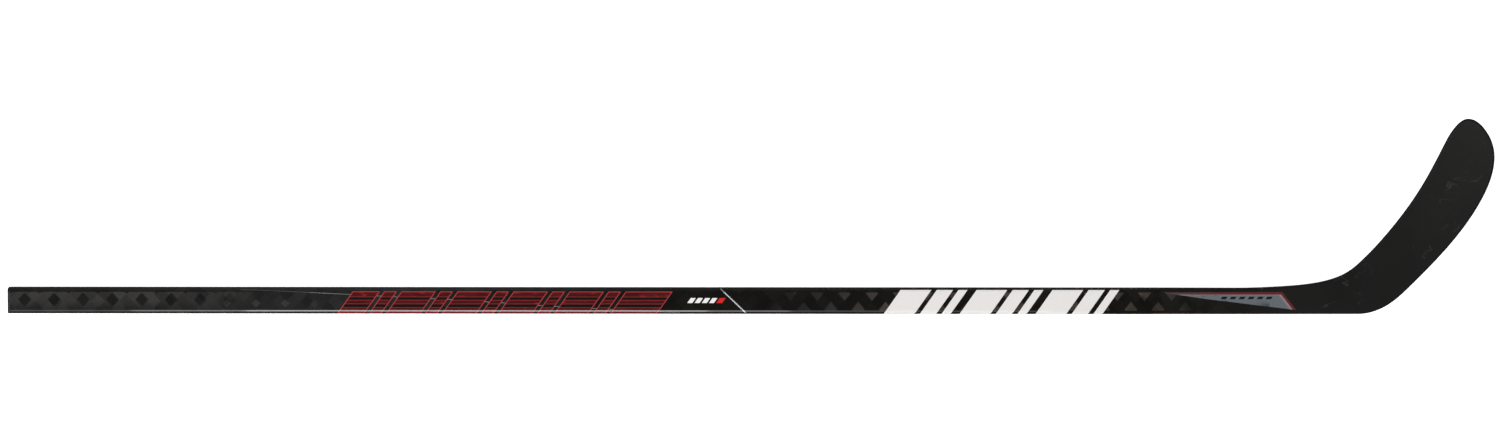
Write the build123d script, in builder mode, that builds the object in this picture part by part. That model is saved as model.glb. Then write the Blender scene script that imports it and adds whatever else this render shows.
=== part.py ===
from build123d import *
import math
import os

# A composite ice hockey stick, lying on the wide back face of its shaft with the blade's forehand face up.
# Origin: centre of the butt end. +X runs along the shaft to the blade, +Y to the toe, +Z out of the forehand
# face. Millimetres.

# ---- Shaft ----
LENGTH = 1524.0  # butt end to heel, a 60 inch senior stick
SHAFT_WIDTH = 28.6
SHAFT_THICK = 19.5
SHAFT_RADIUS = 4.5
JOINT_X = LENGTH - 259.0  # where the blade's hosel meets the end of the shaft tube
EDGE_RADIUS = 2.3  # corner radius at the joint, and all round the hosel and blade

# Plies of the shaft wall, from the outside in.
WEAVE = 0.5
LAMINATE = 1.0
BIAS = 0.5
WALL = WEAVE + LAMINATE + BIAS
GLUE = 0.3
SMALLEST_RADIUS = 0.4

# ---- Taper from the full shaft down to the toe ----
TOE_THICK = 5.0
TAPER_RATE = 0.0325
TAPER_END = LENGTH + 76.0
TAPER_BLEND = 60.0
TAPER_DROP = (SHAFT_THICK - TOE_THICK) / TAPER_RATE
TAPER_START = TAPER_END - TAPER_DROP + TAPER_BLEND**2 / (4 * TAPER_DROP)

# ---- Centre line of the hosel and blade in plan: straight, one arc, straight ----
TURN_X = LENGTH - 84.6
TURN_RADIUS = 130.0
TURN = math.radians(50.0)
TURN_END = TURN_X + TURN_RADIUS * TURN
CURVE_START = LENGTH - 34.0  # from here the blade curves up to the toe
CURVE_RADIUS = 1050.0
FACE_OPEN = math.radians(4.0) / 230.0  # how much the face opens for each millimetre along

# ---- Outline of the hosel and blade in plan, from the heel ----
HALF = SHAFT_WIDTH / 2
TOP_EDGE = [(-165, HALF), (-115, 16.1), (-77.5, 20), (-39.4, 33.5), (-25, 45.7), (9.6, 84.8)]
TOP_EDGE += [(34.2, 119.7), (50.2, 148), (63.2, 174.4), (76.4, 196.5), (90, 205)]
TOE_EDGE = [(90, 205), (109.5, 191.7), (119.1, 161.8)]
SOLE_EDGE = [(119.1, 161.8), (104, 111.5), (59.7, 50), (28.1, 16.9), (1.7, -5.3), (-29, -HALF)]
OUTLINE_EDGES = [  # each with its directions at both ends
    (TOP_EDGE, [(1, 0), (1, 0)]),
    (TOE_EDGE, [(1, 0), (0, -1)]),
    (SOLE_EDGE, [(0, -1), (-1, 0)]),
]
INSET_STEPS = 36  # points taken along each edge of the outline to move it inwards

# ---- Blade layers ----
SKIN = 0.9
RIM = 3.0  # width of the edge strips
BRIDGE = 2.5
BRIDGE_V = 8.0  # the bridge's place across the blade, from the centre line towards the top edge
CORE_SPLIT = LENGTH - 52.0  # end of the heel core, along the centre line
TOE_SPLIT = LENGTH + 160.0  # end of the toe strip, along the centre line
CUT = 60.0  # reach of the cutting solids, past every surface of the stick

# ---- Tenon ----
TENON_X = JOINT_X - 75.0
SPAR_END = JOINT_X + 135.0
SPAR_WALL = 1.2
SPAR_ROOT = (21.0, 9.0)  # width and thickness just inside the hosel
SPAR_TIP = (18.0, 5.5)
SPAR_RADIUS = 1.6
WRAP_HALF = 12.0  # half the length of the wrap over the joint

# ---- Butt plug ----
FLANGE = 2.5
FLANGE_ROUND = 1.2
PLUG_END = 42.0
PLUG_WALL = 1.8
PLUG_RIB = 1.6
GLUE_MARGIN = 4.0

# ---- Graphics: thin films on the forehand side of the shaft and hosel ----
FILM = 0.12
SLANT = 0.7  # how far the bars lean forward for each millimetre up
FACE_TOP = 12.9
FACE_BOTTOM = -HALF + 0.4  # round the lower corner, just short of the narrow side
PINSTRIPE = [(257, 13), (341, 9.5), (421, 5.4), (518, 0.3), (611, -5.9), (659, -8.3), (744, -12.5)]
PINSTRIPE_WIDTH = 0.6
OUTLINE = 0.9
OUTLINE_TOP = 11.0
OUTLINE_BARS = [(382, 30), (417, 14), (436, 38), (479, 14), (498, 38), (541, 14), (560, 38), (603, 14)]
OUTLINE_BARS += [(622, 38), (665, 14), (684, 52)]  # start along the shaft, and width
DASH_BOTTOM, DASH_TOP = -1.7, 3.9
DASHES = [(756, 5.5), (764, 5.5), (772, 5.5), (780, 5.5)]
ACCENT_DASH = [(788, 6.5)]
SLASH = [(789, 14.0), (817, -12.8)]
SLASH_WIDTH = 1.15
STRIPE_GROUPS = (988, 1072, 1156)
GROUP_STRIPES = [(0, 34), (40, 18), (64, 10)]  # start in the group, and width
WEDGE = [(1278.5, 10), (1410.4, 10.2), (1425.6, -9.4), (1328, 2.65)]
WEDGE_BAND = (-3.8, -3.1)  # the border lies along the wedge's upper and toe-side edges
MARK_BOTTOM, MARK_TOP = 2.6, 5.4
MARKS = [(1344 + 10 * i, 6) for i in range(6)]
SIDE_STRIPE = (1279, 1354)
SIDE_STRIPE_Z = (2.0, 3.8)


def section_plane(x):
    """A plane across the shaft at x, whose own x runs along +Y and own y along +Z."""
    return Plane(origin=(x, 0, 0), x_dir=(0, 1, 0), z_dir=(1, 0, 0))


def thickness(s):
    """Thickness of the hosel and blade at s along the centre line."""
    left = TAPER_END - s
    return TOE_THICK + TAPER_RATE * (left + math.hypot(left, TAPER_BLEND)) / 2


def plan_point(s, v):
    """The point in plan at s along the centre line and v to its left, towards the top edge."""
    angle = min(max(s - TURN_X, 0) / TURN_RADIUS, TURN)
    along = min(s - TURN_X, 0) + max(s - TURN_END, 0)
    radius = TURN_RADIUS - v
    x = TURN_X + radius * math.sin(angle) + along * math.cos(angle)
    y = TURN_RADIUS - radius * math.cos(angle) + along * math.sin(angle)
    return x, y


def middle_height(s, v):
    """Height of the middle of the blade's thickness: the forehand curve and the opening face."""
    run = max(s - CURVE_START, 0)
    return run**2 / (2 * CURVE_RADIUS) - v * math.tan(FACE_OPEN * run)


def centre_plane(s):
    """A plane across the blade at s along the centre line."""
    x, y = plan_point(s, 0)
    angle = min(max(s - TURN_X, 0) / TURN_RADIUS, TURN)
    return Plane(origin=(x, y, 0), z_dir=(math.cos(angle), math.sin(angle), 0))


def face_surface(side, inset):
    """The forehand face (side 1) or backhand face (side -1) of the hosel and blade, moved inwards by inset."""
    stations = [JOINT_X - 40 + 20 * i for i in range(29)]
    lateral = [-50, -25, 0, 25, 50, 75]
    grid = []
    for s in stations:
        half = side * (thickness(s) / 2 - inset)
        grid.append([Vector(*plan_point(s, v), middle_height(s, v) + half) for v in lateral])
    return Face.make_surface_from_array_of_points(grid, tol=0.002)


def beyond(side, inset):
    """All the space outside that surface, as a cutting solid."""
    with BuildPart() as space:
        extrude(face_surface(side, inset), amount=2 * CUT, dir=(0, 0, side))
    return space.part


def inset_points(points, tangents, inset):
    """Points along the spline through the given ones, moved to its right by inset."""
    edge = Edge.make_spline([Vector(*point) for point in points], [Vector(*tangent) for tangent in tangents])
    moved = []
    for step in range(INSET_STEPS + 1):
        tangent = edge % (step / INSET_STEPS)
        moved.append(edge @ (step / INSET_STEPS) + Vector(tangent.Y, -tangent.X) * inset)
    return moved


def plan_outline(start, inset=0.0):
    """Outline of the hosel and blade in plan from x = start, moved inwards by inset."""
    half = HALF - inset
    ends = []
    with BuildSketch() as plan:
        with BuildLine():
            for edge, tangents in OUTLINE_EDGES:
                points = [(LENGTH + dx, y) for dx, y in edge]
                if inset:
                    points = inset_points(points, tangents, inset)
                curve = Spline(points, tangents=tangents)
                ends.append((curve @ 0, curve @ 1))
            Polyline(ends[-1][1], (start, -half), (start, half), ends[0][0])
        make_face()
    return plan.sketch


def plan_prism(sketch):
    """The sketch extruded through the whole height of the stick."""
    with BuildPart() as prism:
        extrude(sketch, amount=CUT, both=True)
    return prism.part


def shaft_solid(inset, start, end):
    """The shaft's outer shape moved inwards by inset, solid, from x = start to x = end."""
    stations = [
        (0, SHAFT_THICK, SHAFT_RADIUS),
        (TAPER_START, SHAFT_THICK, SHAFT_RADIUS),
        (JOINT_X, thickness(JOINT_X), EDGE_RADIUS),
    ]
    with BuildPart() as solid:
        for x, thick, radius in stations:
            with BuildSketch(section_plane(x)):
                corner = max(radius - inset, SMALLEST_RADIUS)
                RectangleRounded(SHAFT_WIDTH - 2 * inset, thick - 2 * inset, corner)
        loft(ruled=True)
        if start > 0:
            split(bisect_by=Plane.YZ.offset(start), keep=Keep.TOP)
        if end < JOINT_X:
            split(bisect_by=Plane.YZ.offset(end), keep=Keep.BOTTOM)
    return solid.part


def hosel_bar(root, tip, radius):
    """A rounded bar that narrows from the joint to the spar's end."""
    with BuildPart() as bar:
        for x, (width, thick) in ((JOINT_X, root), (SPAR_END, tip)):
            with BuildSketch(section_plane(x)):
                RectangleRounded(width, thick, radius)
        loft(ruled=True)
    return bar.part


def slanted_bars(bars, bottom, top):
    """Leaning bars side by side, each given by its start along the shaft and its width."""
    with BuildSketch() as group:
        for start, width in bars:
            with BuildLine():
                foot = start + SLANT * (bottom - top)
                Polyline((foot, bottom), (foot + width, bottom), (start + width, top), (start, top), close=True)
            make_face()
    return group.sketch


def shaft_film(sketch):
    """The sketch as a film on the shaft, from its forehand face round its corners."""
    box = sketch.bounding_box()
    with BuildPart() as film:
        extrude(sketch, amount=SHAFT_THICK)
        add(shaft_solid(-FILM, box.min.X - 1, box.max.X + 1), mode=Mode.INTERSECT)
        add(shaft_solid(0, box.min.X - 2, box.max.X + 2), mode=Mode.SUBTRACT)
    return film.part


def hosel_film(sketch):
    """The sketch as a film on the forehand face of the hosel."""
    with BuildPart() as film:
        extrude(sketch, amount=SHAFT_THICK)
        add(beyond(1, 0), mode=Mode.INTERSECT)
        add(beyond(1, -FILM), mode=Mode.SUBTRACT)
    return film.part


def finish(piece, name):
    """Labels the piece and writes it under its node's name."""
    piece.part.label = name
    export_step(piece.part, f"parts/{name}.step")


os.makedirs("parts", exist_ok=True)

# ================= Butt plug =================

with BuildPart() as butt_plug:
    with BuildSketch(section_plane(0)):
        RectangleRounded(SHAFT_WIDTH, SHAFT_THICK, SHAFT_RADIUS)
    extrude(amount=FLANGE)
    fillet(butt_plug.faces().sort_by(Axis.X)[0].edges(), FLANGE_ROUND)
    add(shaft_solid(WALL + GLUE, FLANGE, PLUG_END))
    add(shaft_solid(WALL + GLUE + PLUG_WALL, FLANGE + PLUG_WALL, PLUG_END), mode=Mode.SUBTRACT)
    # Two ribs across the cup keep its thin walls from collapsing.
    rib_depth = PLUG_END - FLANGE
    inner_width = SHAFT_WIDTH - 2 * (WALL + GLUE + PLUG_WALL / 2)
    inner_thick = SHAFT_THICK - 2 * (WALL + GLUE + PLUG_WALL / 2)
    with Locations((FLANGE + rib_depth / 2, 0, 0)):
        Box(rib_depth, inner_width, PLUG_RIB)
        Box(rib_depth, PLUG_RIB, inner_thick)
finish(butt_plug, "butt_plug")

with BuildPart() as plug_glue:
    add(shaft_solid(WALL, FLANGE + GLUE_MARGIN, PLUG_END - GLUE_MARGIN))
    add(shaft_solid(WALL + GLUE, FLANGE, PLUG_END), mode=Mode.SUBTRACT)
finish(plug_glue, "plug_glue")

# ================= Shaft tube, ply by ply =================

WRAP_START = JOINT_X - WRAP_HALF
WRAP_END = JOINT_X + WRAP_HALF

with BuildPart() as bias_ply:
    add(shaft_solid(WEAVE + LAMINATE, FLANGE, JOINT_X))
    add(shaft_solid(WALL, 0, JOINT_X), mode=Mode.SUBTRACT)
finish(bias_ply, "bias_ply")

with BuildPart() as shaft_laminate:
    add(shaft_solid(WEAVE, FLANGE, JOINT_X))
    add(shaft_solid(WEAVE + LAMINATE, 0, JOINT_X), mode=Mode.SUBTRACT)
finish(shaft_laminate, "shaft_laminate")

with BuildPart() as outer_weave:
    add(shaft_solid(0, FLANGE, WRAP_START))
    add(shaft_solid(WEAVE, 0, JOINT_X), mode=Mode.SUBTRACT)
finish(outer_weave, "outer_weave")

# ================= Hosel and blade: the shape that all their layers share =================

with BuildPart() as blank:
    extrude(plan_outline(JOINT_X), amount=CUT, both=True)
    for face_side in (1, -1):
        add(beyond(face_side, 0), mode=Mode.SUBTRACT)
    wide_faces = blank.faces().sort_by(SortBy.AREA)[-2:]
    fillet(wide_faces.edges().filter_by(lambda edge: edge.center().X > JOINT_X + 1), EDGE_RADIUS)

# A shallow step at the joint end takes the wrap.
with BuildPart() as wrap_step:
    add(blank.part)
    split(bisect_by=Plane.YZ.offset(WRAP_END), keep=Keep.BOTTOM)
    for x in (JOINT_X, WRAP_END):
        with BuildSketch(section_plane(x)):
            size = (SHAFT_WIDTH - 2 * WEAVE, thickness(x) - 2 * WEAVE)
            RectangleRounded(*size, EDGE_RADIUS - WEAVE)
    loft(ruled=True, mode=Mode.SUBTRACT)

with BuildPart() as joint_wrap:
    add(shaft_solid(0, WRAP_START, JOINT_X))
    add(shaft_solid(WEAVE, 0, JOINT_X), mode=Mode.SUBTRACT)
    add(wrap_step.part)
finish(joint_wrap, "joint_wrap")

with BuildPart() as forehand_skin:
    add(blank.part)
    add(wrap_step.part, mode=Mode.SUBTRACT)
    add(beyond(1, SKIN), mode=Mode.INTERSECT)
finish(forehand_skin, "forehand_skin")

with BuildPart() as backhand_skin:
    add(blank.part)
    add(wrap_step.part, mode=Mode.SUBTRACT)
    add(beyond(-1, SKIN), mode=Mode.INTERSECT)
finish(backhand_skin, "backhand_skin")

with BuildPart() as between_skins:
    add(blank.part)
    add(wrap_step.part, mode=Mode.SUBTRACT)
    for face_side in (1, -1):
        add(beyond(face_side, SKIN), mode=Mode.SUBTRACT)

inner_prism = plan_prism(plan_outline(JOINT_X - RIM, RIM))

# ================= Edge strips =================

with BuildPart() as rim:
    add(between_skins.part)
    add(inner_prism, mode=Mode.SUBTRACT)

with BuildPart() as toe_edge:
    add(rim.part)
    split(bisect_by=centre_plane(TOE_SPLIT), keep=Keep.TOP)
finish(toe_edge, "toe_edge")

with BuildPart() as long_edges:
    add(rim.part)
    split(bisect_by=centre_plane(TOE_SPLIT), keep=Keep.BOTTOM)
sole_strip, top_strip = long_edges.solids().sort_by(Axis.Y)

with BuildPart() as sole_edge:
    add(sole_strip)
finish(sole_edge, "sole_edge")

with BuildPart() as top_edge:
    add(top_strip)
finish(top_edge, "top_edge")

# ================= Tenon, from inside the shaft into the hosel =================

with BuildPart() as tenon_glue:
    add(shaft_solid(WALL, TENON_X + GLUE_MARGIN, JOINT_X - GLUE_MARGIN))
    add(shaft_solid(WALL + GLUE, 0, JOINT_X), mode=Mode.SUBTRACT)
finish(tenon_glue, "tenon_glue")

with BuildPart() as spar_blank:
    add(shaft_solid(WALL + GLUE, TENON_X, JOINT_X))
    add(hosel_bar(SPAR_ROOT, SPAR_TIP, SPAR_RADIUS))

foam_root, foam_tip = [[side - 2 * SPAR_WALL for side in size] for size in (SPAR_ROOT, SPAR_TIP)]
with BuildPart() as spar_foam:
    add(shaft_solid(WALL + GLUE + SPAR_WALL, TENON_X, JOINT_X))
    add(hosel_bar(foam_root, foam_tip, SMALLEST_RADIUS))
finish(spar_foam, "spar_foam")

with BuildPart() as tenon_spar:
    add(spar_blank.part)
    add(spar_foam.part, mode=Mode.SUBTRACT)
finish(tenon_spar, "tenon_spar")

# ================= Foam cores and the bridge between them =================

with BuildPart() as cores:
    add(between_skins.part)
    add(inner_prism, mode=Mode.INTERSECT)

with BuildPart() as heel_core:
    add(cores.part)
    split(bisect_by=centre_plane(CORE_SPLIT), keep=Keep.BOTTOM)
    add(spar_blank.part, mode=Mode.SUBTRACT)
finish(heel_core, "heel_core")

bridge_stations = [CORE_SPLIT - 20, TURN_X + 60, TURN_END, TURN_END + 90, TOE_SPLIT + 60]
with BuildSketch() as bridge_plan:
    with BuildLine():
        Spline([plan_point(s, BRIDGE_V) for s in bridge_stations])
    trace(line_width=BRIDGE)
bridge_prism = plan_prism(bridge_plan.sketch)

with BuildPart() as blade_cores:
    add(cores.part)
    split(bisect_by=centre_plane(CORE_SPLIT), keep=Keep.TOP)

with BuildPart() as core_bridge:
    add(blade_cores.part)
    add(bridge_prism, mode=Mode.INTERSECT)
finish(core_bridge, "core_bridge")

with BuildPart() as foams:
    add(blade_cores.part)
    add(bridge_prism, mode=Mode.SUBTRACT)
for name, foam in zip(("core_lower", "core_upper"), foams.solids().sort_by(Axis.Y)):
    with BuildPart() as core:
        add(foam)
    finish(core, name)

# ================= Graphics =================

bar_outlines = slanted_bars(OUTLINE_BARS, FACE_BOTTOM, OUTLINE_TOP)
with BuildSketch() as bar_centres:
    add(bar_outlines)
    offset(amount=-OUTLINE, mode=Mode.REPLACE)
with BuildSketch() as bar_rings:
    add(bar_outlines)
    add(bar_centres.sketch, mode=Mode.SUBTRACT)
with BuildSketch() as stripe_line:
    with BuildLine():
        Spline(PINSTRIPE)
    trace(line_width=PINSTRIPE_WIDTH)
    add(bar_outlines, mode=Mode.SUBTRACT)
with BuildSketch() as slash_line_plan:
    with BuildLine():
        Line(SLASH)
    trace(line_width=SLASH_WIDTH)
white_bars = [(group + start, width) for group in STRIPE_GROUPS for start, width in GROUP_STRIPES]

films = {
    "outline_bars": bar_rings.sketch,
    "bar_fills": bar_centres.sketch,
    "pinstripe": stripe_line.sketch,
    "slash_line": slash_line_plan.sketch,
    "white_dashes": slanted_bars(DASHES, DASH_BOTTOM, DASH_TOP),
    "red_dash": slanted_bars(ACCENT_DASH, DASH_BOTTOM, DASH_TOP),
    "white_stripes": slanted_bars(white_bars, FACE_BOTTOM, FACE_TOP),
}
for name, sketch in films.items():
    with BuildPart() as film_piece:
        add(shaft_film(sketch))
    finish(film_piece, name)

with BuildSketch() as wedge:
    Polygon(*WEDGE, align=None)
with BuildSketch() as wedge_inside:
    add(wedge.sketch)
    with Locations(WEDGE_BAND):
        Polygon(*WEDGE, align=None, mode=Mode.INTERSECT)
marks = slanted_bars(MARKS, MARK_BOTTOM, MARK_TOP)
with BuildSketch() as wedge_band:
    add(wedge.sketch)
    add(wedge_inside.sketch, mode=Mode.SUBTRACT)
with BuildSketch() as wedge_ground:
    add(wedge_inside.sketch)
    add(marks, mode=Mode.SUBTRACT)
hosel_films = {
    "wedge_border": wedge_band.sketch,
    "wedge_field": wedge_ground.sketch,
    "wedge_marks": marks,
}
for name, sketch in hosel_films.items():
    with BuildPart() as film_piece:
        add(hosel_film(sketch))
    finish(film_piece, name)

with BuildPart() as side_stripe:
    with BuildSketch(Plane.XZ.offset(HALF)):
        with Locations(((SIDE_STRIPE[0] + SIDE_STRIPE[1]) / 2, sum(SIDE_STRIPE_Z) / 2)):
            Rectangle(SIDE_STRIPE[1] - SIDE_STRIPE[0], SIDE_STRIPE_Z[1] - SIDE_STRIPE_Z[0])
    extrude(amount=FILM)
finish(side_stripe, "side_stripe")
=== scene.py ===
import math

import bpy
import numpy as np
from mathutils import Matrix, Quaternion, Vector
from mathutils.geometry import delaunay_2d_cdt


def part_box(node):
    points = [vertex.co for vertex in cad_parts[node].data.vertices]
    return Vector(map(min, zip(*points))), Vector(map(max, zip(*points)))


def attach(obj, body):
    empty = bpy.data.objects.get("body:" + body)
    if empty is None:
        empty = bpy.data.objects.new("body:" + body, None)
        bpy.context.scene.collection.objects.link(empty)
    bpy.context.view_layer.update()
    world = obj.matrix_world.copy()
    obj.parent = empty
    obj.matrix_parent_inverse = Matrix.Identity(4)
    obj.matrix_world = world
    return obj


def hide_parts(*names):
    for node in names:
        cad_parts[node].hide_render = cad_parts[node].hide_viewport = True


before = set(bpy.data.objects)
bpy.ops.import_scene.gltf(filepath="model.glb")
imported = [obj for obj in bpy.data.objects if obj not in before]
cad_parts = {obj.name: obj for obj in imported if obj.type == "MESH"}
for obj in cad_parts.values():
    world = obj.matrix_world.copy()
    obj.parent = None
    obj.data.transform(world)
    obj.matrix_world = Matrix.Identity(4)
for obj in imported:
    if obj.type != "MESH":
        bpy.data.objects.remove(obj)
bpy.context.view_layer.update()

# The ice hockey stick's visual model. The shape code works in millimetres, in the CAD's own frame, and
# add_mesh() turns it into metres. Materials read object coordinates, so they too are written in millimetres.

MM = 0.001


def node_box(name):
    """Lowest and highest corner of a CAD node, in millimetres."""
    low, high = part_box(name)
    return low / MM, high / MM


# ================= Sizes that the frame gives =================

TUBE_LOW, TUBE_HIGH = node_box("outer_weave")
WRAP_LOW, WRAP_HIGH = node_box("joint_wrap")
JOINT_X = node_box("shaft_laminate")[1].x
HALF_WIDTH = TUBE_HIGH.y
HALF_THICK = TUBE_HIGH.z
WALL = TUBE_HIGH.y - node_box("shaft_laminate")[1].y
FLOOR_Z = TUBE_LOW.z
LENGTH = JOINT_X + 259.0  # butt end to heel

# ================= The stick's shape =================

SHAFT_RADIUS = 4.5
EDGE_RADIUS = 2.3  # at the joint, and all round the hosel and blade

TOE_THICK = 5.0
TAPER_RATE = 0.0325
TAPER_END = LENGTH + 76.0
TAPER_BLEND = 60.0
TAPER_DROP = (2 * HALF_THICK - TOE_THICK) / TAPER_RATE
TAPER_START = TAPER_END - TAPER_DROP + TAPER_BLEND**2 / (4 * TAPER_DROP)

TURN_X = LENGTH - 84.6
TURN_RADIUS = 130.0
TURN = math.radians(50.0)
TURN_END = TURN_X + TURN_RADIUS * TURN
CURVE_START = LENGTH - 34.0
CURVE_RADIUS = 1050.0
FACE_OPEN = math.radians(4.0) / 230.0

# The blade's outline from the heel: points, and the direction at each end.
TOP_EDGE = [(-165, HALF_WIDTH), (-115, 16.1), (-77.5, 20), (-39.4, 33.5), (-25, 45.7), (9.6, 84.8)]
TOP_EDGE += [(34.2, 119.7), (50.2, 148), (63.2, 174.4), (76.4, 196.5), (90, 205)]
TOE_EDGE = [(90, 205), (109.5, 191.7), (119.1, 161.8)]
SOLE_EDGE = [(119.1, 161.8), (104, 111.5), (59.7, 50), (28.1, 16.9), (1.7, -5.3), (-29, -HALF_WIDTH)]
OUTLINE_EDGES = [(TOP_EDGE, (1, 0), (1, 0)), (TOE_EDGE, (1, 0), (0, -1)), (SOLE_EDGE, (0, -1), (-1, 0))]

CORNER_STEPS = 8  # faces round each rounded corner
OUTLINE_STEP = 2.2  # spacing of the points along the blade's outline
GRID_STEP = 4.0  # spacing of the points across the blade's faces
ROW_STEP = 0.87  # their rows are this much closer, which makes the triangles even
GRID_MARGIN = 0.55  # how clear of the outline they stay, in grid steps
SHARP_ANGLE = math.radians(50)
SMALLEST_RADIUS = 0.3


def thickness(s):
    """Thickness at s along the centre line: constant in the shaft, then tapering to the toe."""
    left = TAPER_END - s
    taper = TOE_THICK + TAPER_RATE * (left + math.hypot(left, TAPER_BLEND)) / 2
    return min(2 * HALF_THICK, taper)


def corner_radius(x):
    """Radius of the long edges at x: the shaft's own, shrinking to the blade's by the joint."""
    share = min(max((x - TAPER_START) / (JOINT_X - TAPER_START), 0), 1)
    return SHAFT_RADIUS + (EDGE_RADIUS - SHAFT_RADIUS) * share


def spine_place(x, y):
    """(s, v): how far along the centre line a point in plan is, and how far to its left."""
    if x <= TURN_X:
        return x, y
    angle = math.atan2(x - TURN_X, TURN_RADIUS - y)
    if angle < TURN:
        return TURN_X + TURN_RADIUS * angle, TURN_RADIUS - math.hypot(x - TURN_X, y - TURN_RADIUS)
    end_x = TURN_X + TURN_RADIUS * math.sin(TURN)
    end_y = TURN_RADIUS * (1 - math.cos(TURN))
    along = (x - end_x) * math.cos(TURN) + (y - end_y) * math.sin(TURN)
    left = (y - end_y) * math.cos(TURN) - (x - end_x) * math.sin(TURN)
    return TURN_END + along, left


def blade_height(x, y, side):
    """Height of the forehand face (side 1) or backhand face (side -1) over a point in plan."""
    s, v = spine_place(x, y)
    run = max(s - CURVE_START, 0)
    middle = run**2 / (2 * CURVE_RADIUS) - v * math.tan(FACE_OPEN * run)
    return middle + side * thickness(s) / 2


def spline_points(points, start, end):
    """Points about OUTLINE_STEP apart on the smooth curve through the given ones, with its directions."""
    knots = np.array(points, float)
    spans = np.linalg.norm(np.diff(knots, axis=0), axis=1)
    slopes = np.diff(knots, axis=0) / spans[:, None]
    count = len(knots)
    system, right = np.eye(count), np.zeros((count, 2))
    right[0], right[-1] = start, end
    for i in range(1, count - 1):
        before, after = spans[i - 1], spans[i]
        system[i, i - 1:i + 2] = after, 2 * (before + after), before
        right[i] = 3 * (after * slopes[i - 1] + before * slopes[i])
    speeds = np.linalg.solve(system, right)
    made = []
    for i, span in enumerate(spans):
        steps = math.ceil(span / OUTLINE_STEP)
        for t in np.arange(steps) / steps:
            a, b = knots[i], knots[i + 1]
            m, n = speeds[i] * span, speeds[i + 1] * span
            place = ((2*t**3 - 3*t**2 + 1) * a + (t**3 - 2*t**2 + t) * m
                     + (3*t**2 - 2*t**3) * b + (t**3 - t**2) * n)
            going = (6*t**2 - 6*t) * (a - b) + (3*t**2 - 4*t + 1) * m + (3*t**2 - 2*t) * n
            made.append((place, going / np.linalg.norm(going)))
    return made


def blade_outline(start):
    """Outline in plan from the top edge at x = start, round the toe, to the sole.

    Returns its points and their inward directions.
    """
    line = []
    for points, first, last in OUTLINE_EDGES:
        line += spline_points([(LENGTH + dx, y) for dx, y in points], first, last)
    top_x, sole_x = line[0][0][0], LENGTH + SOLE_EDGE[-1][0]
    top_steps, sole_steps = [math.ceil((x - start) / OUTLINE_STEP / 2) for x in (top_x, sole_x)]
    top = [((x, HALF_WIDTH), (1, 0)) for x in np.linspace(start, top_x, top_steps)[:-1]]
    sole = [((x, -HALF_WIDTH), (-1, 0)) for x in np.linspace(sole_x, start, sole_steps)]
    whole = top + line + sole
    places = np.array([place for place, going in whole])
    inward = np.array([(going[1], -going[0]) for place, going in whole])
    return places, inward


def inside(point, polygon):
    """Whether a point in plan is inside the polygon."""
    x, y = point
    a, b = polygon, np.roll(polygon, -1, axis=0)
    crossing = (a[:, 1] > y) != (b[:, 1] > y)
    a, b = a[crossing], b[crossing]
    meets = a[:, 0] + (y - a[:, 1]) / (b[:, 1] - a[:, 1]) * (b[:, 0] - a[:, 0])
    return np.count_nonzero(meets > x) % 2 == 1


# ================= Meshes =================


def add_mesh(name, points, faces, slot, *stands_for):
    """A smooth-shaded piece from points in millimetres, riding on the stick in place of CAD nodes."""
    mesh = bpy.data.meshes.new(name)
    mesh.from_pydata([Vector(point) * MM for point in points], [], faces)
    mesh.validate()
    mesh.shade_smooth()
    mesh.set_sharp_from_angle(angle=SHARP_ANGLE)
    piece = bpy.data.objects.new(name, mesh)
    bpy.context.scene.collection.objects.link(piece)
    shading = piece.modifiers.new("shading", "WEIGHTED_NORMAL")
    shading.keep_sharp = True
    shading.weight = 100
    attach(piece, "root")
    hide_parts(*stands_for)
    return piece


def section_loop(x, inset):
    """The shaft's cross-section at x, moved inwards by inset, as a loop of points."""
    half_y = HALF_WIDTH - inset
    half_z = thickness(x) / 2 - inset
    radius = max(corner_radius(x) - inset, SMALLEST_RADIUS)
    loop = []
    for quarter, (side_y, side_z) in enumerate(((1, 1), (-1, 1), (-1, -1), (1, -1))):
        centre_y, centre_z = side_y * (half_y - radius), side_z * (half_z - radius)
        for step in range(CORNER_STEPS + 1):
            angle = math.pi / 2 * (quarter + step / CORNER_STEPS)
            loop.append((x, centre_y + radius * math.cos(angle), centre_z + radius * math.sin(angle)))
    return loop


def tube(name, start, end, steps, slot, *stands_for):
    """A closed length of the shaft's outer ply, with its outer and inner wall and both end rings."""
    stations = [start + (end - start) * step / steps for step in range(steps + 1)]
    loops = [section_loop(x, 0) for x in stations]
    loops += [section_loop(x, WALL) for x in reversed(stations)]
    around = len(loops[0])
    faces = []
    for a in range(len(loops)):
        b = (a + 1) % len(loops)
        for i in range(around):
            j = (i + 1) % around
            faces.append((a * around + i, b * around + i, b * around + j, a * around + j))
    points = [point for loop in loops for point in loop]
    return add_mesh(name, points, faces, slot, *stands_for)


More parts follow.
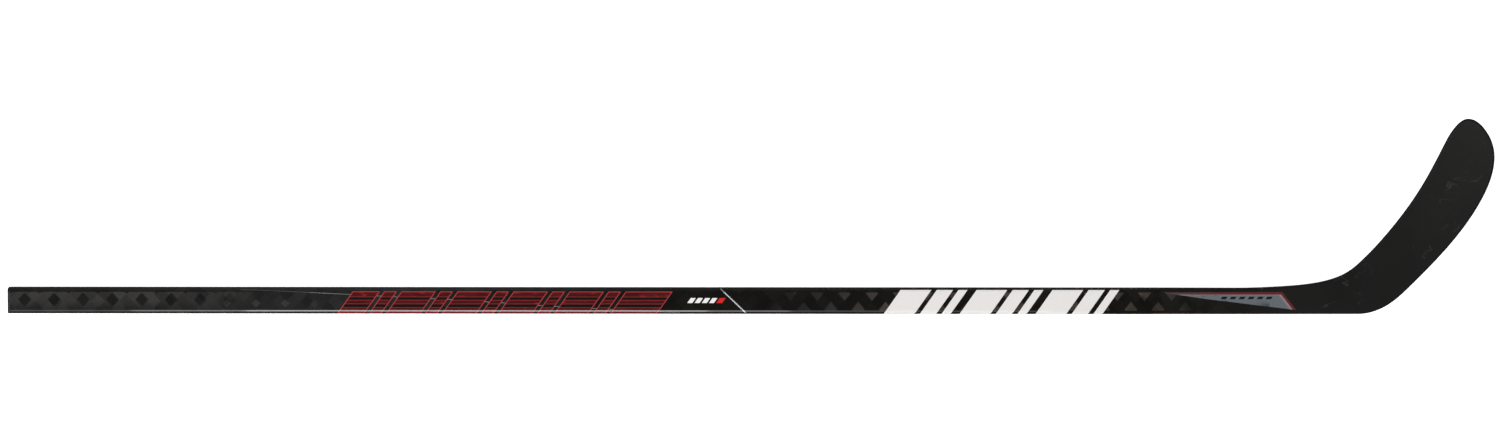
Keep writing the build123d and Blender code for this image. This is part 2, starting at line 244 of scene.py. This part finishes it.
def blade(name, start, slot, *stands_for):
    """The hosel and blade as one smooth closed shell: rounded rim, forehand and backhand face, end cap."""
    places, inward = blade_outline(start)
    count, around = len(places), 2 * (CORNER_STEPS + 1)
    angles = [math.pi / 2 * step / CORNER_STEPS for step in range(CORNER_STEPS + 1)]
    profile = [(-1, angle) for angle in reversed(angles)] + [(1, angle) for angle in angles]
    points = []
    for place, direction in zip(places, inward):
        for side, angle in profile:
            x, y = place + direction * EDGE_RADIUS * (1 - math.cos(angle))
            points.append((x, y, blade_height(x, y, side) - side * EDGE_RADIUS * (1 - math.sin(angle))))
    faces = []
    for i in range(count - 1):
        for k in range(around - 1):
            a, b = i * around + k, (i + 1) * around + k
            faces.append((a, b, b + 1, a + 1))
    border = places + inward * EDGE_RADIUS
    low, high = border.min(axis=0), border.max(axis=0)
    grid = []
    for row, y in enumerate(np.arange(low[1] + GRID_STEP / 2, high[1], GRID_STEP * ROW_STEP)):
        for x in np.arange(low[0] + GRID_STEP / 2 * (1 + row % 2), high[0], GRID_STEP):
            clear = np.linalg.norm(border - (x, y), axis=1).min() > GRID_STEP * GRID_MARGIN
            if clear and x > start + GRID_STEP / 2 and inside((x, y), border):
                grid.append((x, y))
    flat = [Vector(point) for point in border] + [Vector(point) for point in grid]
    ring = [(i, (i + 1) % count) for i in range(count)]
    placed, _, triangles, origins, _, _ = delaunay_2d_cdt(flat, ring, [], 1, 1e-4)
    for side in (-1, 1):
        index = {}
        for i, point in enumerate(placed):
            rim = [origin for origin in origins[i] if origin < count]
            if rim:
                index[i] = rim[0] * around + (around - 1 if side > 0 else 0)
            else:
                index[i] = len(points)
                points.append((point.x, point.y, blade_height(point.x, point.y, side)))
        for triangle in triangles:
            corners = [index[i] for i in triangle]
            faces.append(corners if side > 0 else corners[::-1])
    last = (count - 1) * around
    faces.append([last + k for k in range(around)] + [around - 1 - k for k in range(around)])
    return add_mesh(name, points, faces, slot, *stands_for)


# ================= Material nodes =================


class Nodes:
    """Short names for building one material's nodes. Values are sockets or plain numbers."""

    def __init__(self, name, **values):
        self.material = bpy.data.materials.new(name)
        self.material.use_nodes = True
        self.tree = self.material.node_tree
        self.shader = self.tree.nodes["Principled BSDF"]
        for socket, value in values.items():
            self.shader.inputs[socket.replace("_", " ")].default_value = value
        place = self.tree.nodes.new("ShaderNodeTexCoord").outputs["Object"]
        self.place = self.vector("SCALE", place, scale=1 / MM)
        split = self.tree.nodes.new("ShaderNodeSeparateXYZ")
        self.link(self.place, split.inputs[0])
        self.x, self.y, self.z = split.outputs

    def link(self, source, target):
        if isinstance(source, bpy.types.NodeSocket):
            self.tree.links.new(source, target)
        else:
            target.default_value = source

    def math(self, operation, *values):
        node = self.tree.nodes.new("ShaderNodeMath")
        node.operation = operation
        for value, socket in zip(values, node.inputs):
            self.link(value, socket)
        return node.outputs[0]

    def vector(self, operation, *values, scale=None):
        node = self.tree.nodes.new("ShaderNodeVectorMath")
        node.operation = operation
        for value, socket in zip(values, node.inputs):
            self.link(value, socket)
        if scale is not None:
            node.inputs["Scale"].default_value = scale
        return node.outputs[0]

    def combine(self, x, y, z):
        node = self.tree.nodes.new("ShaderNodeCombineXYZ")
        for value, socket in zip((x, y, z), node.inputs):
            self.link(value, socket)
        return node.outputs[0]

    def step(self, value, start, end):
        """0 below start and 1 above end, smoothly; the other way round when start is above end."""
        node = self.tree.nodes.new("ShaderNodeMapRange")
        node.interpolation_type = "SMOOTHSTEP"
        low, high = min(start, end), max(start, end)
        to = (0, 1) if start < end else (1, 0)
        for socket, number in zip(node.inputs[1:5], (low, high, *to)):
            socket.default_value = number
        self.link(value, node.inputs[0])
        return node.outputs[0]

    def noise(self, place, scale, detail=2.0, rough=0.5):
        """Noise from 0 to 1 with features about 1/scale millimetres wide."""
        node = self.tree.nodes.new("ShaderNodeTexNoise")
        node.inputs["Scale"].default_value = scale
        node.inputs["Detail"].default_value = detail
        node.inputs["Roughness"].default_value = rough
        self.link(place, node.inputs["Vector"])
        return node.outputs["Fac"]

    def cell(self, place):
        """A random number from 0 to 1 that is the same all over each whole-numbered cell."""
        node = self.tree.nodes.new("ShaderNodeTexWhiteNoise")
        self.link(self.vector("FLOOR", place), node.inputs["Vector"])
        return node.outputs["Value"]

    def mix(self, share, first, second):
        node = self.tree.nodes.new("ShaderNodeMix")
        node.data_type = "RGBA"
        for value, socket in zip((share, first, second), (node.inputs[0], node.inputs[6], node.inputs[7])):
            self.link((*value, 1) if isinstance(value, tuple) else value, socket)
        return node.outputs[2]

    def scale(self, colour, factor):
        """The colour made darker or lighter by the factor."""
        node = self.tree.nodes.new("ShaderNodeVectorMath")
        node.operation = "SCALE"
        self.link(colour, node.inputs[0])
        self.link(factor, node.inputs["Scale"])
        return node.outputs[0]

    def between(self, share, first, second):
        """The number a share of the way from first to second."""
        return self.math("MULTIPLY_ADD", share, second - first, first)

    def bump(self, height, depth):
        """Raises the surface by depth millimetres where height is 1."""
        node = self.tree.nodes.new("ShaderNodeBump")
        node.inputs["Distance"].default_value = depth * MM
        self.link(height, node.inputs["Height"])
        self.link(node.outputs[0], self.shader.inputs["Normal"])

    def finish(self, colour, rough):
        self.link(colour, self.shader.inputs["Base Color"])
        self.link(rough, self.shader.inputs["Roughness"])
        return self.material


# ================= The carbon weave =================

BLACK = (0.0068, 0.0064, 0.0058)
# The next colour is a painted reflection: gloss black made lighter towards the butt
SHEEN_BLACK = (0.0150, 0.0148, 0.0146)
BLADE_BLACK = (0.0088, 0.0082, 0.0078)
WEAVE_GREY = (0.0285, 0.0277, 0.0266)
WEAVE_DARK = (0.0095, 0.0095, 0.0095)
WEAVE_COOL = (0.0175, 0.0175, 0.018)
WEAVE_MIDDLE = (0.034, 0.034, 0.034)
WEAVE_WARM = (0.040, 0.033, 0.027)

TOW = 10.9  # width of one tow, so a square crossing is 15.4 mm from corner to corner
TONE_LEAST = 0.27  # brightness of the tows: the least, and how much each of three kinds of unevenness adds
CELL_SHARE, STREAK_SHARE, CLOUD_SHARE = 0.55, 0.65, 0.30
# Lattices of tow crossings: first centre, pitch along the shaft, spacing of the rows, half length and height.
BUTT_DIAMONDS = (19.0, 1.7, 32.4, 14.2, 7.2, 8.2)
GREY_DIAMONDS = (210.0, -2.4, 32.4, 60.0, 5.0, 4.6)
JOINT_DIAMONDS = (865.9, 9.6, 30.16, 18.5, 7.0, 8.7)
SIDE_DIAMONDS = (880.9, 0.0, 30.16, 60.0, 7.0, 6.5)
DIAMOND_EDGE = (1.14, 0.86)  # softness of a crossing's outline
SCUFF = (0.085, 0.082, 0.078)
SIDE_RED = (0.15, 0.013, 0.013)
# Stretches along the shaft, or across it, over which something fades out or in.
BUTT_FADE = (150, 330)
DARK_FADE = (225, 320)
NEXT_ROW = (-5.8, -5.4)  # the dark crossings past the middle row are fainter
NEXT_ROW_DARK = 0.3
GREY_FADE_IN = (225, 262)
GREY_FADE_OUT = (390, 250)
JOINT_FADE_IN = (825, 900)
JOINT_FADE_OUT = (1345, 1235)
WARM_FADE = (900, 985)
SHEEN_FADE = (400, 760)  # painted reflection: the black is lighter towards the butt and deepens over this stretch
FLAT_EDGE = (9.9, 10.6)  # from the flat face on to the rounded corner; on the upper corner by the butt it also marks painted shade
NARROW_SIDE = (13.9, 14.1)  # from the corner on to the narrow side
SHADE_ACROSS = (-9.0, 3.0)  # the grey weave is darker towards the sole's side
SHADED = 0.62
BLADE_FADE = (1300, 1440)


SIDE_NARROWING = 0.0162  # how much nearer the middle each face comes for each millimetre of the taper
# The pinstripe as two straight lines: a slope, and a point that it passes through.
PINSTRIPE_LINES = [(-0.047, 257, 13), (-0.0566, 518, 0.3)]
STRIPE_LOW, STRIPE_HIGH = node_box("side_stripe")
STRIPE_LEAD = 12  # on the corner the stripe starts this far before the film on the side
STRIPE_REACH = (1.5, 1.0)  # how far on to the corner it comes, at its start and end


def girth(nodes):
    """Distance across the face, carried on round the corners and down the narrow sides."""
    past_start = nodes.math("MAXIMUM", nodes.math("SUBTRACT", nodes.x, TAPER_START), 0)
    narrowing = nodes.math("MULTIPLY", past_start, SIDE_NARROWING)
    half = nodes.math("SUBTRACT", HALF_THICK, narrowing)
    down = nodes.math("MAXIMUM", nodes.math("SUBTRACT", half, nodes.math("ABSOLUTE", nodes.z)), 0)
    return nodes.math("MULTIPLY_ADD", nodes.math("SIGN", nodes.y), down, nodes.y)


def diamonds(nodes, across, lattice):
    """1 inside a diamond-shaped tow crossing of the lattice and 0 outside."""
    first_x, first_y, pitch, row_gap, half_x, half_y = lattice
    row = nodes.math("DIVIDE", nodes.math("SUBTRACT", across, first_y), row_gap)
    row_number = nodes.math("ROUND", row)
    along = nodes.math("DIVIDE", nodes.math("SUBTRACT", nodes.x, first_x), pitch)
    along = nodes.math("MULTIPLY_ADD", row_number, -0.5, along)
    off_x = nodes.math("ABSOLUTE", nodes.math("SUBTRACT", along, nodes.math("ROUND", along)))
    off_y = nodes.math("ABSOLUTE", nodes.math("SUBTRACT", row, row_number))
    far = nodes.math("MULTIPLY", off_x, pitch / half_x)
    far = nodes.math("MULTIPLY_ADD", off_y, row_gap / half_y, far)
    return nodes.step(far, *DIAMOND_EDGE)


def fibres(nodes, across):
    """Brightness of the crossing tows, about 1: fine streaks along each tow, and a tone for each crossing."""
    right = nodes.math("MULTIPLY", nodes.math("ADD", nodes.x, across), math.sqrt(0.5))
    left = nodes.math("MULTIPLY", nodes.math("SUBTRACT", nodes.x, across), math.sqrt(0.5))
    column, row = nodes.math("DIVIDE", right, TOW), nodes.math("DIVIDE", left, TOW)
    tone = nodes.cell(nodes.combine(column, row, 0))
    parity = nodes.math("ADD", nodes.math("FLOOR", column), nodes.math("FLOOR", row))
    parity = nodes.math("FLOORED_MODULO", parity, 2)
    streaks = [
        nodes.noise(nodes.combine(nodes.math("MULTIPLY", a, 0.05), b, 0), 2.6, 3, 0.6)
        for a, b in ((right, left), (left, right))
    ]
    streak = nodes.math("MULTIPLY_ADD", parity, nodes.math("SUBTRACT", streaks[1], streaks[0]), streaks[0])
    cloud = nodes.noise(nodes.combine(nodes.x, across, 0), 0.07, 2)
    light = nodes.math("MULTIPLY_ADD", tone, CELL_SHARE, TONE_LEAST)
    light = nodes.math("MULTIPLY_ADD", streak, STREAK_SHARE, light)
    return nodes.math("MULTIPLY_ADD", cloud, CLOUD_SHARE, light)


def below_pinstripe(nodes):
    """1 on the woven side of the pinstripe and 0 on the plain gloss side."""
    lines = [nodes.math("MULTIPLY_ADD", nodes.x, slope, y - slope * x) for slope, x, y in PINSTRIPE_LINES]
    line = nodes.math("MINIMUM", *lines)
    below = nodes.step(nodes.math("SUBTRACT", line, nodes.y), 0.0, 0.4)
    return nodes.math("MAXIMUM", below, nodes.step(nodes.z, 0.0, -1.0))


def weave_colour(nodes):
    """Base colour of the woven parts: grey weave at the butt, black, then light crossings by the joint, with
    painted shade on the upper corner by the butt and a painted reflection that lightens the black towards the
    butt.
    """
    across = girth(nodes)
    tone = fibres(nodes, across)
    butt = nodes.math("MULTIPLY", nodes.step(nodes.x, *reversed(BUTT_FADE)), below_pinstripe(nodes))
    grey = nodes.scale(WEAVE_GREY, nodes.between(nodes.step(across, *SHADE_ACROSS), SHADED, 1.0))
    dark = diamonds(nodes, across, BUTT_DIAMONDS)
    dark = nodes.math("MULTIPLY", dark, nodes.step(nodes.x, *reversed(DARK_FADE)))
    dark = nodes.math("MULTIPLY", dark, nodes.between(nodes.step(across, *NEXT_ROW), NEXT_ROW_DARK, 1.0))
    field = nodes.mix(dark, grey, WEAVE_DARK)
    # painted shade: the butt's weave turns dark on the upper rounded corner
    field = nodes.mix(nodes.step(nodes.y, *FLAT_EDGE), field, WEAVE_DARK)
    # painted reflection: the black is lighter towards the butt and fades to plain black along the shaft
    black = nodes.mix(nodes.step(nodes.x, *SHEEN_FADE), SHEEN_BLACK, BLACK)
    colour = nodes.mix(butt, black, field)
    middle = nodes.math("MULTIPLY", nodes.step(nodes.x, *GREY_FADE_IN), nodes.step(nodes.x, *GREY_FADE_OUT))
    middle = nodes.math("MULTIPLY", middle, diamonds(nodes, across, GREY_DIAMONDS))
    colour = nodes.mix(middle, colour, WEAVE_MIDDLE)
    on_face = nodes.step(nodes.math("ABSOLUTE", nodes.y), *reversed(FLAT_EDGE))
    joint = nodes.math("MULTIPLY", on_face, diamonds(nodes, across, JOINT_DIAMONDS))
    on_side = nodes.step(nodes.math("ABSOLUTE", nodes.y), *NARROW_SIDE)
    joint = nodes.math("MULTIPLY_ADD", on_side, diamonds(nodes, nodes.z, SIDE_DIAMONDS), joint)
    joint = nodes.math("MULTIPLY", joint, nodes.step(nodes.x, *JOINT_FADE_IN))
    joint = nodes.math("MULTIPLY", joint, nodes.step(nodes.x, *JOINT_FADE_OUT))
    light = nodes.mix(nodes.step(nodes.x, *WARM_FADE), WEAVE_COOL, WEAVE_WARM)
    colour = nodes.mix(joint, colour, light)
    return nodes.scale(colour, tone), tone


def corner_stripe(nodes, colour):
    """The side stripe's red carried up on to the rounded corner, narrowing towards the blade."""
    start, end = STRIPE_LOW.x - STRIPE_LEAD, STRIPE_HIGH.x
    narrowing = nodes.step(nodes.x, start, end)
    edge = nodes.between(narrowing, *[reach - HALF_WIDTH for reach in STRIPE_REACH])
    below = nodes.math("SUBTRACT", edge, nodes.y)
    inside_stripe = nodes.step(below, 0.0, 0.15)
    for limit in (
        nodes.step(nodes.x, start - 1, start),
        nodes.step(nodes.x, end, end - 1),
        nodes.step(nodes.z, STRIPE_LOW.z - 0.1, STRIPE_LOW.z),
    ):
        inside_stripe = nodes.math("MULTIPLY", inside_stripe, limit)
    return nodes.mix(inside_stripe, colour, SIDE_RED)


CLEAR_COAT = {"Coat_Weight": 1.0, "Coat_Roughness": 0.04, "Specular_IOR_Level": 0.0}
COAT_WAVES, COAT_DEPTH = 0.12, 0.05  # fineness and depth of the unevenness of the clear coat
SCUFF_STRENGTH = 0.25


def woven_gloss():
    nodes = Nodes("woven_gloss", **CLEAR_COAT)
    colour, tone = weave_colour(nodes)
    nodes.bump(nodes.noise(nodes.place, COAT_WAVES, 2), COAT_DEPTH)
    return nodes.finish(corner_stripe(nodes, colour), nodes.between(tone, 0.5, 0.36))


def scratches(nodes):
    """Fine curved scratches in a few places."""
    place = nodes.vector("MULTIPLY", nodes.place, (0.7, 1.0, 0.0))
    curve = nodes.math("ABSOLUTE", nodes.math("SUBTRACT", nodes.noise(place, 0.035, 3, 0.6), 0.5))
    line = nodes.step(curve, 0.009, 0.003)
    broken = nodes.step(nodes.noise(nodes.place, 0.10, 2), 0.42, 0.56)
    area = nodes.step(nodes.noise(nodes.place, 0.018, 1), 0.51, 0.59)
    return nodes.math("MULTIPLY", nodes.math("MULTIPLY", line, broken), area)


def specks(nodes):
    """Small pale specks, thinly scattered."""
    return nodes.step(nodes.noise(nodes.place, 0.30, 2, 0.75), 0.79, 0.82)


def blade_satin():
    """The hosel's gloss weave runs out into the blade's plain satin black, which has a few scuffs."""
    nodes = Nodes("blade_satin", Coat_Weight=0.15, Coat_Roughness=0.22, Specular_IOR_Level=0.12)
    colour, tone = weave_colour(nodes)
    share = nodes.step(nodes.x, *BLADE_FADE)
    grain = nodes.noise(nodes.place, 1.4, 4, 0.6)
    patches = nodes.noise(nodes.place, 0.03, 3)
    shade = nodes.math("MULTIPLY_ADD", patches, 0.5, 0.75)
    colour = nodes.mix(share, colour, nodes.scale(BLADE_BLACK, shade))
    marks = nodes.math("MULTIPLY", nodes.math("MAXIMUM", scratches(nodes), specks(nodes)), share)
    colour = nodes.mix(nodes.math("MULTIPLY", marks, SCUFF_STRENGTH), colour, SCUFF)
    colour = corner_stripe(nodes, colour)
    nodes.bump(grain, 0.02)
    dullness = nodes.math("MULTIPLY_ADD", share, 0.6, nodes.math("MULTIPLY", grain, 0.4))
    rough = nodes.between(dullness, 0.25, 0.5)
    return nodes.finish(colour, rough)


# ================= Other materials =================

OUTLINE_RED = (0.36, 0.042, 0.044)
FILL_DEEP = (0.045, 0.006, 0.006)
FILL_RED = (0.080, 0.008, 0.009)
FILL_BRIGHT = (0.22, 0.016, 0.010)
FILL_EDGE = (0.20, 0.022, 0.024)
FILL_GAPS = [(-6.6, -3.2), (1.6, 4.6)]  # plain black bands across the bars
FILL_LINE = 0.8  # width of the fine line along those bands
BORDER_BAND = (3.8, 3.1)  # width of the wedge's border along its toe side, and along its top
BORDER_LEAN = 15.2 / 19.6  # how far its toe side leans back for each millimetre up
BORDER_RED, BORDER_MAUVE = (0.078, 0.019, 0.022), (0.074, 0.046, 0.053)  # at the toe end and the butt end
OUTER_RED, OUTER_MAUVE = (0.17, 0.026, 0.03), (0.1, 0.06, 0.066)
INNER_PALE = (0.22, 0.16, 0.165)
CARBON_BLACK = (0.012, 0.012, 0.013)
FOAM_DARK, FOAM_PALE = (0.42, 0.36, 0.26), (0.66, 0.6, 0.48)
RESIN_DARK, RESIN_PALE = (0.30, 0.25, 0.16), (0.42, 0.37, 0.27)


def ink(name, colour, spread=0.12):
    """Printed ink under clear coat, darker in places by up to the spread."""
    nodes = Nodes(name, **CLEAR_COAT)
    uneven = nodes.noise(nodes.place, 0.35, 4, 0.6)
    darker = tuple(channel * (1 - spread) for channel in colour)
    nodes.bump(nodes.noise(nodes.place, COAT_WAVES, 2), COAT_DEPTH)
    return nodes.finish(nodes.mix(uneven, colour, darker), nodes.between(uneven, 0.29, 0.41))


def bar_ink():
    """Translucent red in two bands along each bar, edged with a fine line, over the black between them."""
    nodes = Nodes("fill_red", **CLEAR_COAT)
    uneven = nodes.noise(nodes.vector("MULTIPLY", nodes.place, (0.05, 0.4, 0.0)), 1.0, 3)
    flare = nodes.noise(nodes.vector("MULTIPLY", nodes.place, (0.09, 0.25, 0.0)), 1.0, 1)
    deep = nodes.mix(nodes.step(uneven, 0.35, 0.65), FILL_DEEP, FILL_RED)
    colour = nodes.mix(nodes.step(flare, 0.60, 0.78), deep, FILL_BRIGHT)
    for low, high in FILL_GAPS:
        middle, half = (low + high) / 2, (high - low) / 2
        away = nodes.math("ABSOLUTE", nodes.math("SUBTRACT", nodes.y, middle))
        colour = nodes.mix(nodes.step(away, half + FILL_LINE, half + FILL_LINE - 0.2), colour, FILL_EDGE)
        colour = nodes.mix(nodes.step(away, half + 0.1, half - 0.1), colour, BLACK)
    return nodes.finish(colour, nodes.between(uneven, 0.3, 0.42))


def metal_ink(name, colour):
    """Fine silver flake ink."""
    nodes = Nodes(name, Metallic=0.6, Coat_Weight=1.0, Coat_Roughness=0.07)
    flakes = nodes.noise(nodes.place, 3.0, 4, 0.7)
    dim = tuple(channel * 0.6 for channel in colour)
    return nodes.finish(nodes.mix(flakes, dim, colour), nodes.between(flakes, 0.3, 0.5))


def wedge_ink():
    """Dark mauve-red band with a pale line along its inner edge and a redder one along its outer edge."""
    nodes = Nodes("wedge_ink", **CLEAR_COAT)
    low, high = node_box("wedge_border")
    up = nodes.math("DIVIDE", nodes.math("SUBTRACT", nodes.y, high.y - BORDER_BAND[1]), BORDER_BAND[1])
    lean = nodes.math("MULTIPLY_ADD", nodes.math("SUBTRACT", nodes.y, low.y), BORDER_LEAN, nodes.x)
    out = nodes.math("DIVIDE", nodes.math("SUBTRACT", lean, high.x - BORDER_BAND[0]), BORDER_BAND[0])
    across = nodes.math("MAXIMUM", up, out)
    towards_butt = nodes.step(nodes.x, low.x + 75, low.x + 5)
    band = nodes.mix(towards_butt, BORDER_RED, BORDER_MAUVE)
    outer_line = nodes.mix(towards_butt, OUTER_RED, OUTER_MAUVE)
    colour = nodes.mix(nodes.step(across, 0.72, 0.85), band, outer_line)
    colour = nodes.mix(nodes.step(across, 0.26, 0.14), colour, INNER_PALE)
    uneven = nodes.noise(nodes.place, 0.5, 3)
    return nodes.finish(colour, nodes.between(uneven, 0.3, 0.42))


def moulded_plastic(name, colour, rough):
    """Moulded plastic with a fine spark-eroded grain."""
    nodes = Nodes(name, Specular_IOR_Level=0.4)
    grain = nodes.noise(nodes.place, 4.0, 3, 0.6)
    pale = tuple(channel * 1.5 for channel in colour)
    nodes.bump(grain, 0.03)
    return nodes.finish(nodes.mix(grain, colour, pale), nodes.between(grain, rough - 0.08, rough + 0.08))


def laminate(name, colour):
    """Bare carbon laminate, with fibres along the shaft."""
    nodes = Nodes(name)
    fibre = nodes.noise(nodes.vector("MULTIPLY", nodes.place, (0.02, 2.0, 2.0)), 1.0, 4, 0.6)
    nodes.bump(fibre, 0.02)
    pale = tuple(channel * 2.2 for channel in colour)
    return nodes.finish(nodes.mix(fibre, colour, pale), nodes.between(fibre, 0.35, 0.55))


def foam(name):
    """Rigid closed-cell foam."""
    nodes = Nodes(name)
    cells = nodes.noise(nodes.place, 1.6, 4, 0.7)
    nodes.bump(cells, 0.2)
    return nodes.finish(nodes.mix(cells, FOAM_DARK, FOAM_PALE), nodes.between(cells, 0.75, 0.95))


def resin(name):
    """Cured adhesive."""
    nodes = Nodes(name)
    cloud = nodes.noise(nodes.place, 0.4, 3)
    return nodes.finish(nodes.mix(cloud, RESIN_DARK, RESIN_PALE), nodes.between(cloud, 0.3, 0.5))


def dress(node, material):
    """Gives a CAD node its material."""
    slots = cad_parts[node].data.materials
    slots.clear()
    slots.append(material)


# ================= The pieces =================

GLOSS = woven_gloss()
shaft_shell = tube("shaft_shell", TUBE_LOW.x, WRAP_LOW.x, 120, "outer_weave", "outer_weave")
shaft_shell.data.materials.append(GLOSS)
joint_sleeve = tube("joint_sleeve", WRAP_LOW.x, WRAP_HIGH.x, 6, "joint_wrap", "joint_wrap")
joint_sleeve.data.materials.append(GLOSS)
blade_nodes = ("forehand_skin", "backhand_skin", "top_edge", "sole_edge", "toe_edge")
blade_shell = blade("blade_shell", WRAP_HIGH.x, "forehand_skin", *blade_nodes)
blade_shell.data.materials.append(blade_satin())

dress("butt_plug", moulded_plastic("plug_plastic", (0.008, 0.008, 0.0085), 0.5))
for node in ("plug_glue", "tenon_glue"):
    dress(node, resin(node + "_resin"))
for node in ("bias_ply", "shaft_laminate", "tenon_spar", "core_bridge"):
    dress(node, laminate(node + "_carbon", CARBON_BLACK))
for node in ("spar_foam", "heel_core", "core_upper", "core_lower"):
    dress(node, foam(node + "_foam"))

dress("outline_bars", ink("outline_red", OUTLINE_RED))
dress("bar_fills", bar_ink())
dress("pinstripe", metal_ink("pinstripe_silver", (0.115, 0.118, 0.122)))
dress("slash_line", metal_ink("slash_silver", (0.45, 0.47, 0.49)))
dress("white_dashes", ink("dash_white", (0.78, 0.78, 0.78)))
dress("red_dash", ink("dash_red", (0.62, 0.022, 0.018)))
dress("white_stripes", ink("stripe_white", (0.70, 0.68, 0.665), spread=0.04))
dress("wedge_border", wedge_ink())
dress("wedge_field", ink("wedge_grey", (0.115, 0.13, 0.142)))
dress("wedge_marks", ink("mark_black", (0.010, 0.010, 0.014)))
dress("side_stripe", ink("side_red", SIDE_RED))

# ================= Floor, camera and light =================

PHOTO_ASPECT = 435 / 1500
VIEW_WIDTH = 1.6595  # metres across the picture at the stick
VIEW_CENTRE = Vector((0.8214, 0.09245, 0))
VIEW_TILT = math.radians(6.0)  # from straight above, towards the toe side
VIEW_ROLL = math.radians(0.042)
LENS = 100.0
SENSOR_WIDTH = 36.0
SENSOR_HEIGHT = SENSOR_WIDTH * PHOTO_ASPECT / 2.7  # narrow, so that a long slim object fills other views too

WORLD_LIGHT = 0.85
SEEN_IN_GLOSS = (0.18, 0.03)  # what reflections see instead: at the horizon, and straight up or down
OVERHEAD = 0.95  # height of a direction from which it counts as straight up
FLOOR_REACH = 60.0  # metres
FLOOR_GREY = 0.9
FLOOR_GLOW = 0.75  # keeps the floor white next to the stick

# Long softboxes along the shaft, on the side away from the toe. They make the light line on the lower corner.
STRIPS = [  # name, middle along the shaft, length in metres, radiance
    ("strip_softbox", 0.49, 0.56, 9.0),
    ("wider_softbox", 0.47, 0.80, 4.0),
    ("long_softbox", 0.45, 1.5, 1.3),
]
STRIP_LEAN, STRIP_DISTANCE, STRIP_WIDTH = -30, 1.2, 0.80
KEY_PLACE, KEY_LEAN_X, KEY_LEAN_Y = (0.7, 0, 0), -25, -20
KEY_DISTANCE, KEY_SIZE, KEY_RADIANCE = 6.0, (3.0, 3.0), 6.0


def add_floor():
    mesh = bpy.data.meshes.new("floor")
    corners = [(-1, -1), (1, -1), (1, 1), (-1, 1)]
    points = [(x * FLOOR_REACH, y * FLOOR_REACH, FLOOR_Z * MM) for x, y in corners]
    mesh.from_pydata(points, [], [(0, 1, 2, 3)])
    floor = bpy.data.objects.new("floor", mesh)
    bpy.context.scene.collection.objects.link(floor)
    nodes = Nodes("floor_white", Specular_IOR_Level=0.0)
    nodes.shader.inputs["Emission Color"].default_value = (1, 1, 1, 1)
    nodes.shader.inputs["Emission Strength"].default_value = FLOOR_GLOW
    mesh.materials.append(nodes.finish((FLOOR_GREY, FLOOR_GREY, FLOOR_GREY, 1), 0.9))
    floor.visible_glossy = False


def add_camera():
    data = bpy.data.cameras.new("camera")
    data.sensor_fit = "VERTICAL"
    data.sensor_width = SENSOR_WIDTH
    data.sensor_height = SENSOR_HEIGHT
    data.lens = LENS
    data.clip_end = 200
    camera = bpy.data.objects.new("camera", data)
    distance = VIEW_WIDTH * PHOTO_ASPECT * LENS / SENSOR_HEIGHT
    back = Vector((0, math.sin(VIEW_TILT), math.cos(VIEW_TILT)))
    up = Vector((0, math.cos(VIEW_TILT), -math.sin(VIEW_TILT)))
    up.rotate(Quaternion(back, VIEW_ROLL))
    right = up.cross(back)
    turn = Matrix((right, up, back)).transposed().to_4x4()
    camera.matrix_world = Matrix.Translation(VIEW_CENTRE + back * distance) @ turn
    bpy.context.scene.collection.objects.link(camera)
    bpy.context.scene.camera = camera


def add_softbox(name, aim, angle_x, angle_y, distance, size, radiance):
    """A rectangular light over aim, leaning by the two angles from straight up, of that radiance."""
    data = bpy.data.lights.new(name, "AREA")
    data.shape = "RECTANGLE"
    data.size, data.size_y = size
    data.energy = radiance * math.pi * size[0] * size[1]
    light = bpy.data.objects.new(name, data)
    away = Vector((math.tan(math.radians(angle_x)), math.tan(math.radians(angle_y)), 1)).normalized()
    light.location = Vector(aim) + away * distance
    light.rotation_mode = "QUATERNION"
    light.rotation_quaternion = away.to_track_quat("Z", "Y")
    light.visible_camera = False
    bpy.context.scene.collection.objects.link(light)
    return light


def add_world():
    """White surroundings, which reflections see as a dim horizon under a dark ceiling."""
    world = bpy.data.worlds.new("studio")
    world.use_nodes = True
    nodes, link = world.node_tree.nodes, world.node_tree.links.new
    place = nodes.new("ShaderNodeTexCoord")
    split = nodes.new("ShaderNodeSeparateXYZ")
    link(place.outputs["Generated"], split.inputs[0])
    up = nodes.new("ShaderNodeMath")
    up.operation = "ABSOLUTE"
    link(split.outputs[2], up.inputs[0])
    horizon = nodes.new("ShaderNodeMapRange")
    for socket, number in zip(horizon.inputs[1:5], (0.0, OVERHEAD, *SEEN_IN_GLOSS)):
        socket.default_value = number
    link(up.outputs[0], horizon.inputs[0])
    path = nodes.new("ShaderNodeLightPath")
    strength = nodes.new("ShaderNodeMix")
    strength.inputs[2].default_value = WORLD_LIGHT
    link(path.outputs["Is Glossy Ray"], strength.inputs[0])
    link(horizon.outputs[0], strength.inputs[3])
    background = nodes["Background"]
    background.inputs["Color"].default_value = (1, 1, 1, 1)
    link(strength.outputs[0], background.inputs["Strength"])
    bpy.context.scene.world = world


add_floor()
add_camera()
add_world()
for name, middle, length, radiance in STRIPS:
    size = (length, STRIP_WIDTH)
    strip = add_softbox(name, (middle, 0, 0), 0, STRIP_LEAN, STRIP_DISTANCE, size, radiance)
    strip.visible_diffuse = False
key = add_softbox("key_softbox", KEY_PLACE, KEY_LEAN_X, KEY_LEAN_Y, KEY_DISTANCE, KEY_SIZE, KEY_RADIANCE)
key.visible_glossy = False
bpy.context.scene.view_settings.view_transform = "Standard"
